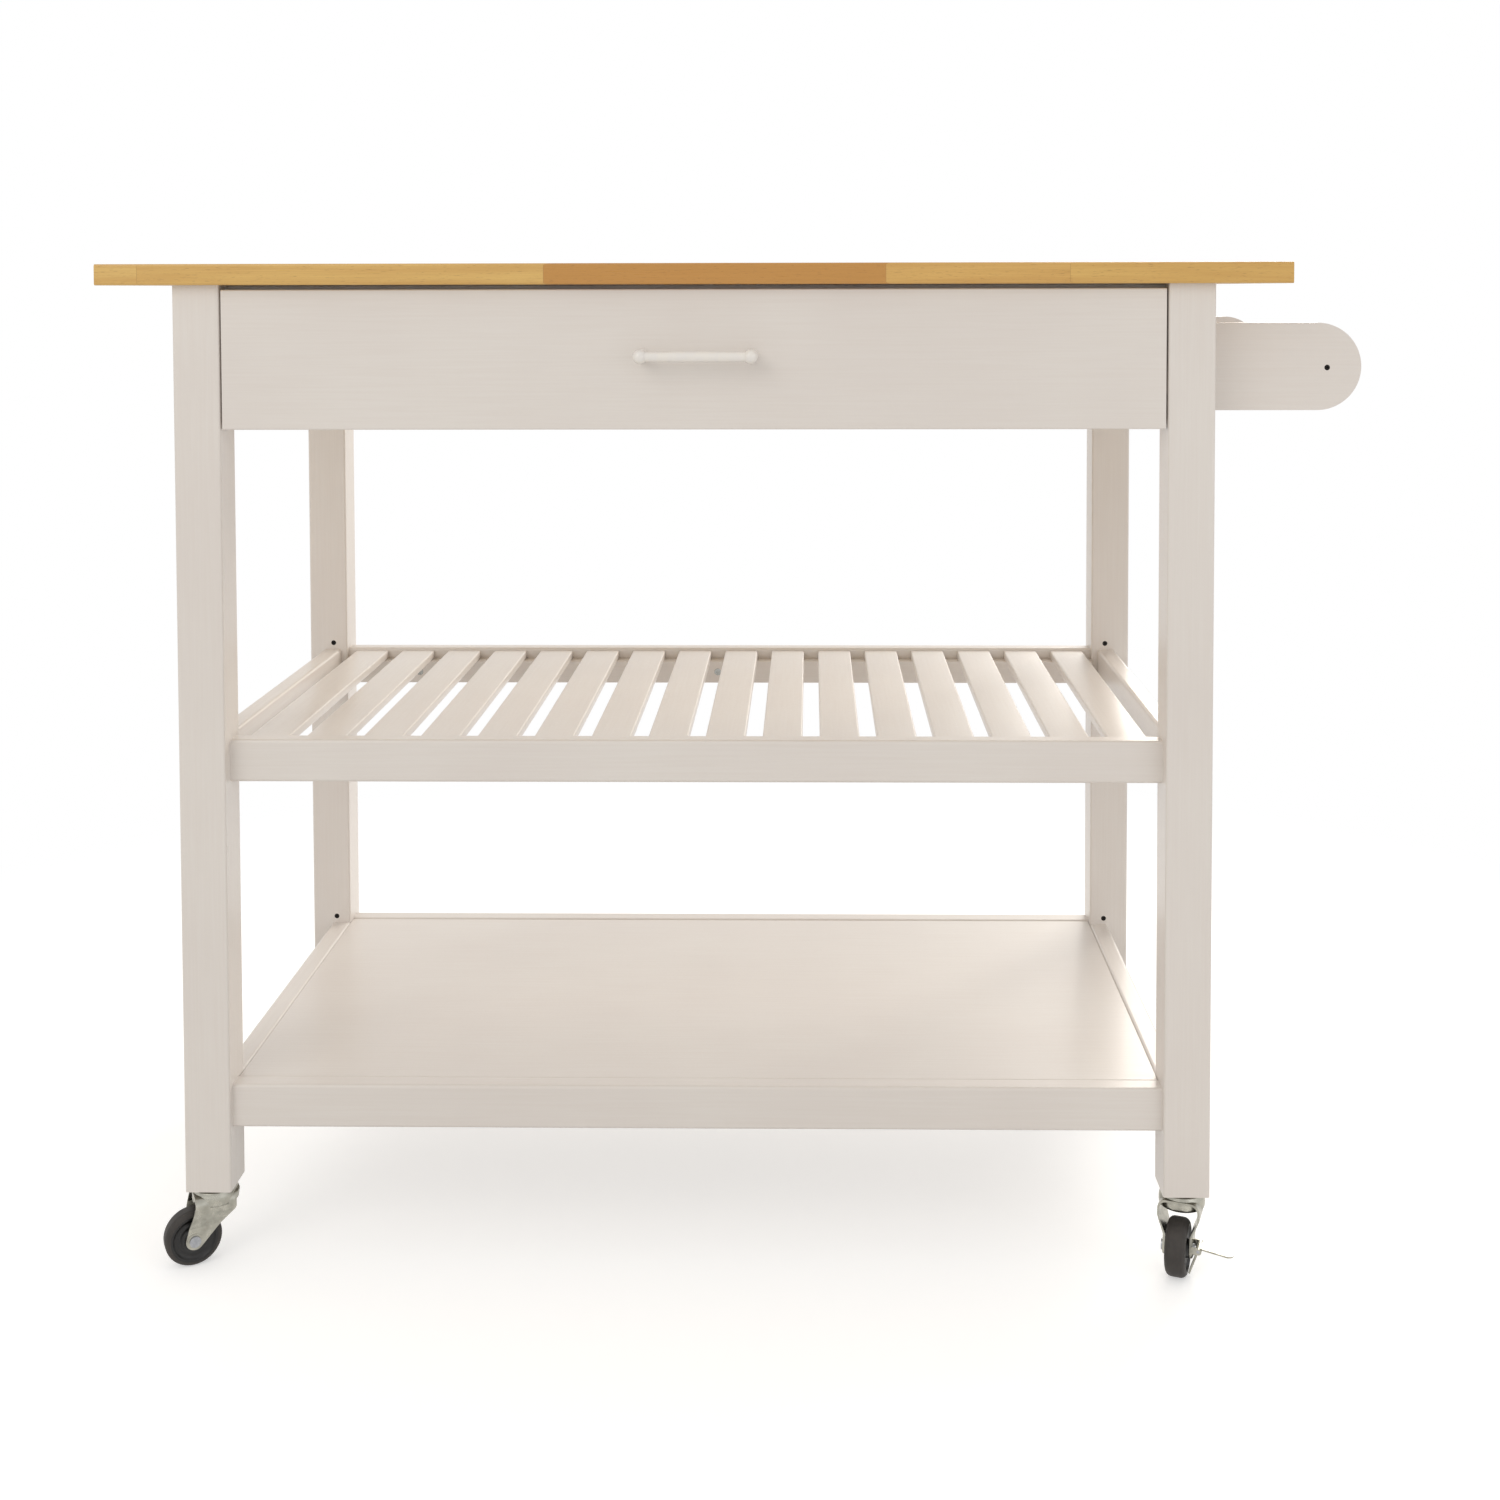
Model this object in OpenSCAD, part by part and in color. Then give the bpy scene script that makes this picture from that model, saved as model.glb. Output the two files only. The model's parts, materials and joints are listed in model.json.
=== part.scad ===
// Kitchen island cart: a rubberwood worktop on a painted frame, with one wide drawer,
// a slatted shelf, a solid bottom shelf, a towel rail on the right and four casters.
// Built with X = 0 at the middle of the frame, Y = 0 at the front of the legs and
// Z = 0 on the floor, then moved so that the origin is the middle of the base.

/* [Worktop] */
// Width of the worktop, side to side
top_w = 1066; // [1000:1:1300]
// Thickness of the worktop
top_t = 19; // [15:1:30]
// How far the worktop stands out past the legs at the front and the back
top_lip = 10; // [5:1:25]
// Radius of the worktop's eased edges
top_ease = 2; // [1:0.5:4]

/* [Frame] */
// Width of the frame over the legs
frame_w = 934; // [700:1:990]
// Depth of the frame over the legs
frame_d = 480; // [400:1:600]
// Height of the legs' top above the floor
frame_h = 900; // [800:1:1100]
// Side of the square legs
leg_w = 42; // [36:1:60]
// Radius of the legs' eased edges
leg_ease = 2; // [1:0.5:4]
// Thickness of the aprons and the drawer rails
apron_t = 18; // [15:1:22]
// Height of the side and back aprons
apron_h = 130; // [110:1:180]
// Distance from the back of the legs to the back apron
apron_set = 12; // [6:1:20]
// Height of the rail under the drawer
low_rail_h = 24; // [18:1:30]
// Depth of the flat rail over the drawer
high_rail_d = 42; // [30:1:60]

/* [Slatted shelf] */
// Height of the slatted shelf's rail tops above the floor
mid_z = 485; // [350:1:600]
// Height of the slatted shelf's rails
mid_rail_h = 39; // [34:1:60]
// Thickness of the slatted shelf's rails
mid_rail_t = 19; // [15:1:24]
// Distance from the outer faces of the legs to the slatted shelf's rails
mid_set = 16; // [4:1:17]
// Number of slats
slat_n = 16; // [10:1:20]
// Width of a slat
slat_w = 37; // [25:1:40]
// Thickness of a slat
slat_t = 9; // [7:1:12]
// Distance from the rail tops down to the slat tops
slat_drop = 3; // [0:1:6]
// Depth of the cleats that carry the shelves
cleat_d = 15; // [12:1:25]
// Height of the cleats that carry the slats
slat_cleat_h = 25; // [15:1:25]

/* [Bottom shelf] */
// Height of the bottom shelf's rail tops above the floor
base_z = 168; // [150:1:260]
// Height of the bottom shelf's rails
base_rail_h = 40; // [36:1:60]
// Thickness of the bottom shelf's rails
base_rail_t = 20; // [15:1:24]
// Distance from the front of the legs to the bottom shelf's front rail
base_set = 8; // [4:1:16]
// Thickness of the bottom panel
panel_t = 12; // [9:1:16]
// Distance from the rail tops down to the panel's face
panel_drop = 1; // [0:0.5:3]
// Height of the cleats that carry the panel
base_cleat_h = 18; // [12:1:22]

/* [Drawer] */
// Thickness of the drawer front
face_t = 18; // [15:1:22]
// Gap over the drawer front
face_gap = 4; // [2:0.5:6]
// Gap beside the drawer front
side_gap = 2; // [1.5:0.5:6]
// Height of the drawer front
face_h = 126; // [110:1:126]
// Thickness of the drawer box's sides, back and inner front
box_t = 12; // [9:1:15]
// Height of the drawer box
box_h = 70; // [55:1:70]
// Length of the drawer box
box_l = 420; // [380:1:420]
// Thickness of the drawer's bottom board
bottom_t = 5; // [3:1:6]
// Depth of the groove that holds the bottom board
groove = 5; // [3:1:6]
// How far the drawer opens
travel = 260; // [150:5:270]
// Length of the ball slides
slide_l = 400; // [390:1:400]

/* [Handle] */
// Distance between the handle's two posts
handle_pitch = 98; // [64:1:160]
// Radius of the handle's bar
handle_r = 4.5; // [4:0.5:6]
// How far the handle stands out from the drawer front
handle_out = 28; // [24:1:40]
// Sideways place of the handle's middle
handle_x = 4; // [-100:1:100]

/* [Towel rail] */
// How far the brackets stand out past the legs
bracket_out = 142; // [100:1:180]
// Height of a bracket
bracket_h = 80; // [60:1:100]
// Thickness of a bracket
bracket_t = 18; // [15:1:24]
// Height of the brackets' middle above the floor
bracket_z = 824; // [700:1:840]
// Distance from the bracket's tip to the towel bar's middle
bar_in = 31; // [20:1:50]
// Diameter of the towel bar
bar_d = 22; // [16:1:30]

/* [Casters] */
// Height of a caster from the floor to the bottom of the leg
caster_h = 71; // [68:1:80]
// Diameter of a wheel
wheel_d = 50.8; // [45:0.2:51.6]
// Width of a wheel's tread
wheel_w = 19; // [16:0.5:22]
// Distance from the swivel's middle to the axle
trail = 21; // [16:0.5:24]
// Direction that the front left caster trails in
yaw_front_left = 208; // [0:1:359]
// Direction that the front right caster trails in
yaw_front_right = 250; // [0:1:359]
// Direction that the rear left caster trails in
yaw_rear_left = 200; // [0:1:359]
// Direction that the rear right caster trails in
yaw_rear_right = 240; // [0:1:359]
// Length of the brake pedal past the fork
pedal_l = 24; // [15:1:30]

/* [Hidden] */
$fn = 48;

// Colours
wood = "#d9a55b";
paint = "#e3ddd5";
zinc = "#b9b9b4";
steel = "#8e8f90";
black = "#26262a";
ply = "#d8c19a";

// Places that several pieces share
half_w = frame_w / 2;
leg_in = half_w - leg_w;
leg_back = frame_d - leg_w;
tip_x = half_w + bracket_out;
origin_x = (tip_x - top_w / 2) / 2;
origin_y = (frame_d + top_lip - handle_out) / 2;
seam = 0.5;
run_gap = 0.3;
over = 1;

// Frame places
apron_z = frame_h - apron_h;
apron_back_y = frame_d - apron_set - apron_t;
rail_y = face_t + 2;
low_rail_z = apron_z + 6;
high_rail_z = frame_h - apron_t;
mid_low = mid_z - mid_rail_h;
mid_in = half_w - mid_set - mid_rail_t;
slat_z = mid_z - slat_drop - slat_t;
slat_gap = (2 * mid_in - slat_n * slat_w) / (slat_n + 1);
base_low = base_z - base_rail_h;
panel_z = base_z - panel_drop - panel_t;
base_back = frame_d - base_set - base_rail_t;

// Drawer places
face_z = frame_h - face_gap - face_h;
face_w = 2 * (leg_in - side_gap);
slide_h = 45;
sheet = 1.2;
slide_depth = 12.7;
box_half = leg_in - slide_depth;
box_z = low_rail_z + low_rail_h + 6;
slide_z = box_z + box_h / 2;
slide_y = rail_y + 2;
runner_h = 33;
runner_flange = 8.7;
channel_flange = 9.5;
ball_z = (slide_h / 2 - sheet + runner_h / 2) / 2;
ball_r = (slide_h - 2 * sheet - runner_h) / 4 - 0.1;
ball_x = leg_in - 6;
ball_n = 9;
cage_t = 0.8;
cage_x = leg_in - sheet - 1;
cage_l = slide_l - travel - 10;
cage_y = slide_y + travel / 2 + 3;
bottom_z = box_z + 6;
handle_z = face_z + face_h / 2 + 3;
knuckle_end_r = 1.45 * handle_r;

// Fasteners
bolt_r = 3;
bolt_head_r = 6;
bolt_head_t = 3;
barrel_r = 5;
barrel_past = 4.5;
barrel_at = 35;
dowel_r = 4;
dowel_half = 12;
rail_dowel = 12;
apron_dowel = 40;
side_dowel = 10;
screw_r = 2;
screw_head_r = 4;
screw_head_t = 2;
bracket_screw_up = 16;

// Caster places, with the wheel trailing along +X of the caster's own frame
axle_z = wheel_d / 2;
wheel_edge = 4;
hub_r = 8;
hub_w = wheel_w + 2.4;
axle_r = 3;
axle_gap = 0.08;
axle_head_r = 5;
rivet_t = 1.5;
fork_t = 2;
fork_in = hub_w / 2 + run_gap;
fork_out = fork_in + fork_t;
fork_top = caster_h - 5;
shoulder = 19;
shoulder_r = 8;
fork_end_r = 8;
fork_back = -20;
fork_front = 21;
crown_x = 4;
crown_r = 26;
stem_r = 4;
stem_up = 34;
collar_r = 15;
rivet_r = 7;
pedal_t = 1.6;
pedal_w = 14;
plate_w = 13;
shoe_w = 12;
pivot_r = 1.5;
knuckle_r = 3;
pivot_y = fork_out + 6;
pivot_z = axle_z + 2.5;
pedal_drop = 7;
plate_up = knuckle_r - pedal_t - 0.3;
shoe_l = 24;
shoe_turn = 20;
ear_t = 1.5;
boss_r = 7;
boss_t = 0.4;

// ---- Shared shapes -------------------------------------------------------------

module place() {
    translate([-origin_x, -origin_y, 0]) children();
}

// A board of the size given, its four long edges eased, standing along Z
module post(size, ease) {
    linear_extrude(size[2]) {
        translate([ease, 0]) square([size[0] - 2 * ease, size[1]]);
        translate([0, ease]) square([size[0], size[1] - 2 * ease]);
        for (x = [ease, size[0] - ease], y = [ease, size[1] - ease])
            translate([x, y]) circle(r = ease);
    }
}

// The same board lying along X
module board_x(size, ease) {
    multmatrix([[0, 0, 1, 0], [1, 0, 0, 0], [0, 1, 0, 0]])
        post([size[1], size[2], size[0]], ease);
}

// The same board lying along Y
module board_y(size, ease) {
    multmatrix([[0, 1, 0, 0], [0, 0, 1, 0], [1, 0, 0, 0]])
        post([size[2], size[0], size[1]], ease);
}

// A round bar from a point, along X or Y
module rod_x(from, length, r) {
    translate(from) rotate([0, 90, 0]) cylinder(r = r, h = length);
}

module rod_y(from, length, r) {
    translate(from) rotate([-90, 0, 0]) cylinder(r = r, h = length);
}

// A wood screw lying along Y, its flat head at y = 0 and its tip towards +Y
module screw_y(length) {
    rod_y([0, 0, 0], screw_head_t, screw_head_r);
    rod_y([0, 0, 0], length, screw_r);
}

// A left and a right copy, side by side about the middle of the frame
module both_sides() {
    children();
    mirror([1, 0, 0]) children();
}

// ---- Fasteners, which are also the holes they need ------------------------------

// Bolts through the legs into the rails: place along Y, height, the rail's depth, which
// way the barrel nut's hole opens, and how far above and below the bolt the dowels lie
bolts = [
    [mid_set + mid_rail_t / 2, mid_z - mid_rail_h / 2, mid_rail_t, 1, rail_dowel],
    [frame_d - mid_set - mid_rail_t / 2, mid_z - mid_rail_h / 2, mid_rail_t, -1, rail_dowel],
    [base_set + base_rail_t / 2, base_z - base_rail_h / 2, base_rail_t, 1, rail_dowel],
    [frame_d - base_set - base_rail_t / 2, base_z - base_rail_h / 2, base_rail_t, -1,
        rail_dowel],
    [rail_y + apron_t / 2, low_rail_z + low_rail_h / 2, apron_t, 1, 0],
    [rail_y + apron_t / 2, high_rail_z + apron_t / 2, apron_t, -1, 0],
    [apron_back_y + apron_t / 2, apron_z + apron_h / 2, apron_t, -1, apron_dowel]
];

module frame_bolt_shapes() {
    both_sides() for (b = bolts) {
        rod_x([half_w - bolt_head_t, b[0], b[1]], bolt_head_t, bolt_head_r);
        rod_x([leg_in - barrel_at, b[0], b[1]], leg_w + barrel_at, bolt_r);
    }
}

// A barrel nut fills its hole, which starts at the rail's inner face and passes the bolt
module barrel_shapes() {
    both_sides() for (b = bolts) {
        barrel_l = b[2] / 2 + barrel_past;
        start = b[3] > 0 ? b[0] - barrel_past : b[0] - b[2] / 2;
        rod_y([leg_in - barrel_at, start, b[1]], barrel_l, barrel_r);
    }
}

// Dowels in the side joints, which lie along Y: distance from the middle, and height
side_dowels = [
    [mid_in + mid_rail_t / 2, mid_low + side_dowel],
    [mid_in + mid_rail_t / 2, mid_z - side_dowel],
    [leg_in + base_rail_t / 2, base_low + side_dowel],
    [leg_in + base_rail_t / 2, base_z - side_dowel],
    [leg_in + apron_t / 2, low_rail_z + low_rail_h - dowel_r + 2],
    [leg_in + apron_t / 2, frame_h - apron_t - 3 * dowel_r]
];

module dowel_shapes() {
    both_sides() {
        for (d = side_dowels, y = [leg_w, leg_back])
            rod_y([d[0], y - dowel_half, d[1]], 2 * dowel_half, dowel_r);
        for (b = bolts, up = [-1, 1]) if (b[4] > 0)
            rod_x([leg_in - dowel_half, b[0], b[1] + up * b[4]], 2 * dowel_half, dowel_r);
    }
}

// Small screws in the rear legs' front faces, just over the side rails
module leg_screw_shapes() {
    both_sides() for (z = [mid_z + 7, base_z + 7])
        translate([mid_in + mid_rail_t / 2 - 1, leg_back, z]) {
            rod_y([0, 0, 0], 2, 2.8);
            rod_y([0, 0, 0], 22, 1.6);
        }
}

// Screws that hold the cleats to the rails: three in each cleat
module cleat_screw_shapes() {
    for (z = [slat_z - slat_cleat_h / 2, panel_z - base_cleat_h / 2]) {
        slatted = z > panel_z;
        front = slatted ? mid_set + mid_rail_t + cleat_d : base_set + base_rail_t + cleat_d;
        for (x = [-0.8, 0, 0.8] * leg_in) {
            translate([x, front, z]) mirror([0, 1, 0]) screw_y(cleat_d + 12);
            translate([x, frame_d - front, z]) screw_y(cleat_d + 12);
        }
    }
}

// Screws from below through the upper rail and the top cleat into the worktop
module worktop_screw_shapes() {
    for (x = [-0.7, 0, 0.7] * leg_in, y = [rail_y + high_rail_d / 2 + 8,
            apron_back_y - apron_t / 2])
        translate([x, y, high_rail_z]) {
            cylinder(r = screw_head_r, h = screw_head_t);
            cylinder(r = screw_r, h = apron_t + top_t * 0.7);
        }
}

// Screws from inside the right apron into the towel brackets
module bracket_screw_shapes() {
    for (y = [bracket_y(0), bracket_y(1)], z = [-bracket_screw_up, bracket_screw_up])
        translate([leg_in, y + bracket_t / 2, bracket_z + z]) {
            rod_x([0, 0, 0], screw_head_t, screw_head_r);
            rod_x([0, 0, 0], apron_t + 35, screw_r);
        }
}

// Screws through the towel brackets into the ends of the bar
module bar_screw_shapes() {
    for (end = [0, 1]) translate([tip_x - bar_in, frame_d / 2, bracket_z - 1])
        mirror([0, end, 0])
            translate([0, bracket_y(0) - frame_d / 2, 0]) {
                rod_y([0, 0, 0], 3, 2.6);
                rod_y([0, 0, 0], bracket_t + 25, screw_r);
            }
}

// Screws that hold the slide channels to the legs and aprons, flush in their webs
module slide_screw_shapes() {
    both_sides() for (y = [leg_w / 2 + 2, frame_d / 2, slide_y + slide_l - 20])
        translate([leg_in - sheet, y, slide_z]) {
            rod_x([0, 0, 0], sheet, 3.5);
            rod_x([0, 0, 0], sheet + 14, screw_r);
        }
}

// ---- Worktop and frame ----------------------------------------------------------

module worktop() {
    color(wood) place() difference() {
        translate([-top_w / 2, -top_lip, frame_h])
            board_x([top_w, frame_d + 2 * top_lip, top_t], top_ease);
        worktop_screw_shapes();
    }
}

// A leg at its corner, with every hole that its rails, dowels and caster need
module leg(x, y) {
    color(paint) place() difference() {
        translate([x, y, caster_h]) post([leg_w, leg_w, frame_h - caster_h], leg_ease);
        frame_bolt_shapes();
        dowel_shapes();
        leg_screw_shapes();
        slide_screw_shapes();
        translate([x + leg_w / 2, y + leg_w / 2, caster_h - over])
            cylinder(r = stem_r, h = stem_up + over);
    }
}

module leg_front_left() leg(-half_w, 0);
module leg_front_right() leg(leg_in, 0);
module leg_rear_left() leg(-half_w, leg_back);
module leg_rear_right() leg(leg_in, leg_back);

// The side aprons carry the slides inside and, on the right, the towel rail outside
module apron_side() {
    translate([leg_in, leg_w, apron_z]) board_y([apron_t, leg_back - leg_w, apron_h], 1.5);
}

module apron_left() {
    color(paint) place() difference() {
        mirror([1, 0, 0]) apron_side();
        dowel_shapes();
        slide_screw_shapes();
    }
}

module apron_right() {
    color(paint) place() difference() {
        apron_side();
        dowel_shapes();
        slide_screw_shapes();
        bracket_screw_shapes();
    }
}

module apron_rear() {
    color(paint) place() difference() {
        translate([-leg_in, apron_back_y, apron_z]) board_x([2 * leg_in, apron_t, apron_h], 1.5);
        frame_bolt_shapes();
        barrel_shapes();
        dowel_shapes();
    }
}

module drawer_rail_lower() {
    color(paint) place() difference() {
        translate([-leg_in, rail_y, low_rail_z]) board_x([2 * leg_in, apron_t, low_rail_h], 1.5);
        frame_bolt_shapes();
        barrel_shapes();
    }
}

module drawer_rail_upper() {
    color(paint) place() difference() {
        translate([-leg_in, rail_y, high_rail_z])
            board_x([2 * leg_in, high_rail_d, apron_t], 1.5);
        frame_bolt_shapes();
        barrel_shapes();
        worktop_screw_shapes();
    }
}

module top_cleat() {
    color(paint) place() difference() {
        translate([-leg_in + 20, apron_back_y - apron_t, high_rail_z])
            board_x([2 * leg_in - 40, apron_t, apron_t], 1.5);
        worktop_screw_shapes();
    }
}

// ---- Slatted shelf --------------------------------------------------------------

module shelf_rail(y) {
    color(paint) place() difference() {
        translate([-leg_in, y, mid_low]) board_x([2 * leg_in, mid_rail_t, mid_rail_h], 3);
        frame_bolt_shapes();
        barrel_shapes();
        dowel_shapes();
        cleat_screw_shapes();
    }
}

module shelf_rail_front() shelf_rail(mid_set);
module shelf_rail_rear() shelf_rail(frame_d - mid_set - mid_rail_t);

module shelf_rails_side() {
    color(paint) place() difference() {
        both_sides() translate([mid_in, leg_w, mid_low])
            board_y([mid_rail_t, leg_back - leg_w, mid_rail_h], 3);
        dowel_shapes();
    }
}

// Cleats inside the front and rear rails, with their screw holes
module cleats(y, z, height) {
    color(paint) place() difference() {
        for (start = [y, frame_d - y - cleat_d])
            translate([-leg_in, start, z]) board_x([2 * leg_in, cleat_d, height], 1);
        cleat_screw_shapes();
    }
}

module shelf_cleats() cleats(mid_set + mid_rail_t, slat_z - slat_cleat_h, slat_cleat_h);

module shelf_slats() {
    start = mid_set + mid_rail_t + seam;
    color(paint) place() for (i = [0:slat_n - 1])
        translate([-mid_in + slat_gap + i * (slat_w + slat_gap), start, slat_z])
            board_y([slat_w, frame_d - 2 * start, slat_t], 1.5);
}

// ---- Bottom shelf ---------------------------------------------------------------

module base_rail(y) {
    color(paint) place() difference() {
        translate([-leg_in, y, base_low]) board_x([2 * leg_in, base_rail_t, base_rail_h], 3);
        frame_bolt_shapes();
        barrel_shapes();
        dowel_shapes();
        cleat_screw_shapes();
    }
}

module base_rail_front() base_rail(base_set);
module base_rail_rear() base_rail(base_back);

module base_rails_side() {
    color(paint) place() difference() {
        both_sides() translate([leg_in, leg_w, base_low])
            board_y([base_rail_t, leg_back - leg_w, base_rail_h], 3);
        dowel_shapes();
    }
}

module base_cleats() cleats(base_set + base_rail_t, panel_z - base_cleat_h, base_cleat_h);

module base_panel() {
    start = base_set + base_rail_t + seam;
    color(paint) place() translate([-leg_in + seam, start, panel_z])
        board_x([2 * (leg_in - seam), frame_d - 2 * start, panel_t], 1);
}

// ---- Towel rail -----------------------------------------------------------------

// Front of the front (0) or the rear (1) bracket, just inside the legs
function bracket_y(rear) = rear == 0 ? leg_w + 2 : leg_back - 2 - bracket_t;

module towel_bracket(rear) {
    start = leg_in + apron_t;
    color(paint) place() difference() {
        translate([0, bracket_y(rear) + bracket_t, bracket_z]) rotate([90, 0, 0])
            linear_extrude(bracket_t) {
                translate([start, -bracket_h / 2])
                    square([tip_x - bracket_h / 2 - start, bracket_h]);
                translate([tip_x - bracket_h / 2, 0]) circle(d = bracket_h, $fn = 96);
            }
        bar_screw_shapes();
        bracket_screw_shapes();
    }
}

module towel_bracket_front() towel_bracket(0);
module towel_bracket_rear() towel_bracket(1);

module towel_bar() {
    color(paint) place() difference() {
        rod_y([tip_x - bar_in, bracket_y(0) + bracket_t, bracket_z - 1],
            bracket_y(1) - bracket_y(0) - bracket_t, bar_d / 2);
        bar_screw_shapes();
    }
}

module towel_rail_screws() color(steel) place() {
    bar_screw_shapes();
    bracket_screw_shapes();
}
module worktop_screws() color(steel) place() worktop_screw_shapes();
module frame_bolts() color(zinc) place() difference() {
    frame_bolt_shapes();
    barrel_shapes();
}
module barrel_nuts() color(zinc) place() barrel_shapes();
module dowels() color(ply) place() dowel_shapes();
module cleat_screws() color(steel) place() cleat_screw_shapes();
module leg_screws() color(black) place() leg_screw_shapes();
module slide_screws() color(steel) place() slide_screw_shapes();

// ---- Ball slides ----------------------------------------------------------------

// A channel of folded sheet on the right: web at x, flanges towards -X or +X
module channel(web_x, flange, height, start, length, turn) {
    for (z = [-height / 2, height / 2 - sheet])
        translate([turn > 0 ? web_x : web_x - flange, start, slide_z + z])
            cube([flange, length, sheet]);
    translate([turn > 0 ? web_x : web_x - sheet, start, slide_z - height / 2])
        cube([sheet, length, height]);
}

module slide_channels() {
    color(zinc) place() difference() {
        both_sides() channel(leg_in, channel_flange, slide_h, slide_y, slide_l, -1);
        slide_screw_shapes();
    }
}

module drawer_runners() {
    color(zinc) place() difference() {
        both_sides() channel(box_half, runner_flange, runner_h, slide_y, slide_l - 5, 1);
        runner_screw_shapes();
    }
}

// The cages are thin folded strips with a hole for each ball
module slide_cages() {
    color(steel) place() both_sides() difference() {
        union() {
            translate([cage_x - cage_t, cage_y, slide_z - ball_z - cage_t / 2])
                cube([cage_t, cage_l, 2 * ball_z + cage_t]);
            for (z = [-ball_z, ball_z])
                translate([ball_x - 3.5, cage_y, slide_z + z - cage_t / 2])
                    cube([cage_x - ball_x + 3.5, cage_l, cage_t]);
        }
        ball_places() cylinder(r = ball_r + 0.05, h = 6, center = true);
    }
}

module ball_places() {
    step = (cage_l - 14) / (ball_n - 1);
    for (i = [0:ball_n - 1], z = [-ball_z, ball_z])
        translate([ball_x, cage_y + 7 + i * step, slide_z + z]) children();
}

module slide_balls() color(zinc) place() both_sides() ball_places() sphere(r = ball_r);

// ---- Drawer ---------------------------------------------------------------------

// Screws from inside the box into the drawer front, and through the runners
module drawer_screw_shapes() {
    for (x = [-0.75, -0.3, 0.3, 0.75] * box_half, z = [0.3, 0.8] * box_h)
        translate([x, face_t + box_t + screw_head_t, box_z + z])
            mirror([0, 1, 0]) screw_y(box_t + screw_head_t + 12);
    runner_screw_shapes();
}

module runner_screw_shapes() {
    both_sides() for (y = [slide_y + 30, slide_y + slide_l - 60])
        translate([box_half + sheet, y, slide_z]) {
            rod_x([0, 0, 0], 1.5, 3.5);
            rod_x([-10, 0, 0], 10, screw_r);
        }
}

module handle_screw_shapes() {
    for (side = [-1, 1])
        translate([handle_x + side * handle_pitch / 2, face_t + box_t + screw_head_t, handle_z])
            mirror([0, 1, 0]) screw_y(face_t + box_t + screw_head_t + handle_out / 2);
}

module drawer_front() {
    color(paint) place() difference() {
        translate([-face_w / 2, 0, face_z]) board_x([face_w, face_t, face_h], 1.5);
        drawer_screw_shapes();
        handle_screw_shapes();
    }
}

module bottom_board() {
    span = box_half - box_t + groove;
    translate([-span, face_t + box_t - groove, bottom_z])
        cube([2 * span, box_l - 2 * box_t + 2 * groove, bottom_t]);
}

module drawer_box_front() {
    color(ply) place() difference() {
        translate([-box_half + box_t, face_t, box_z])
            cube([2 * (box_half - box_t), box_t, box_h]);
        drawer_screw_shapes();
        handle_screw_shapes();
        bottom_board();
    }
}

module drawer_side() {
    translate([box_half - box_t, face_t, box_z]) cube([box_t, box_l, box_h]);
}

module drawer_side_left() {
    color(ply) place() difference() {
        mirror([1, 0, 0]) drawer_side();
        drawer_screw_shapes();
        bottom_board();
    }
}

module drawer_side_right() {
    color(ply) place() difference() {
        drawer_side();
        drawer_screw_shapes();
        bottom_board();
    }
}

module drawer_back() {
    color(ply) place() difference() {
        translate([-box_half + box_t, face_t + box_l - box_t, box_z])
            cube([2 * (box_half - box_t), box_t, box_h]);
        bottom_board();
    }
}

module drawer_bottom() color(ply) place() bottom_board();
module drawer_screws() color(steel) place() drawer_screw_shapes();
module handle_screws() color(steel) place() handle_screw_shapes();

// A bow of one round bar between two posts with ball ends
module drawer_handle() {
    bar_y = knuckle_end_r - handle_out;
    color(paint) place() difference() {
        translate([handle_x, 0, handle_z]) {
            for (side = [-1, 1]) translate([side * handle_pitch / 2, 0, 0]) {
                rod_y([0, bar_y, 0], -bar_y, handle_r);
                translate([0, bar_y, 0]) rotate([0, 0, -90]) sphere(r = knuckle_end_r);
            }
            rod_x([-handle_pitch / 2, bar_y, 0], handle_pitch, handle_r);
        }
        handle_screw_shapes();
    }
}

// ---- Casters --------------------------------------------------------------------

// Puts a caster, built with its swivel on the Z axis, under its leg and turns it
module at_leg(x, y, yaw) {
    place() translate([x, y, 0]) rotate([0, 0, yaw]) children();
}

left_x = -half_w + leg_w / 2;
right_x = half_w - leg_w / 2;
front_y = leg_w / 2;
rear_y = frame_d - leg_w / 2;

// The stem screws into the leg; its collar seats on the leg and its rivet holds the fork
module caster_stems() {
    color(zinc) for (x = [left_x, right_x], y = [front_y, rear_y]) at_leg(x, y, 0) {
        translate([0, 0, fork_top - fork_t - 3]) {
            cylinder(r = stem_r, h = caster_h + stem_up - fork_top + fork_t + 3);
            cylinder(r = rivet_r, h = 3 - run_gap);
        }
        translate([0, 0, fork_top + run_gap])
            cylinder(r = collar_r, h = caster_h - fork_top - run_gap);
    }
}

// The point where a line from p touches a circle of radius r about c, on one side
function touch(p, c, r, side) =
    let (d = norm(p - c), a = atan2(p[1] - c[1], p[0] - c[0]) + side * acos(r / d))
    c + r * [cos(a), sin(a)];

// The fork seen from the side: a wide crown that narrows to a round end at the axle
module fork_side() {
    axle = [trail, axle_z];
    back = [fork_back, fork_top - 9];
    front = [fork_front, fork_top - 9];
    polygon([[fork_back, fork_top], back, touch(back, axle, fork_end_r, 1),
        axle, touch(front, axle, fork_end_r, -1), front, [fork_front, fork_top]]);
    translate(axle) circle(r = fork_end_r);
}

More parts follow.
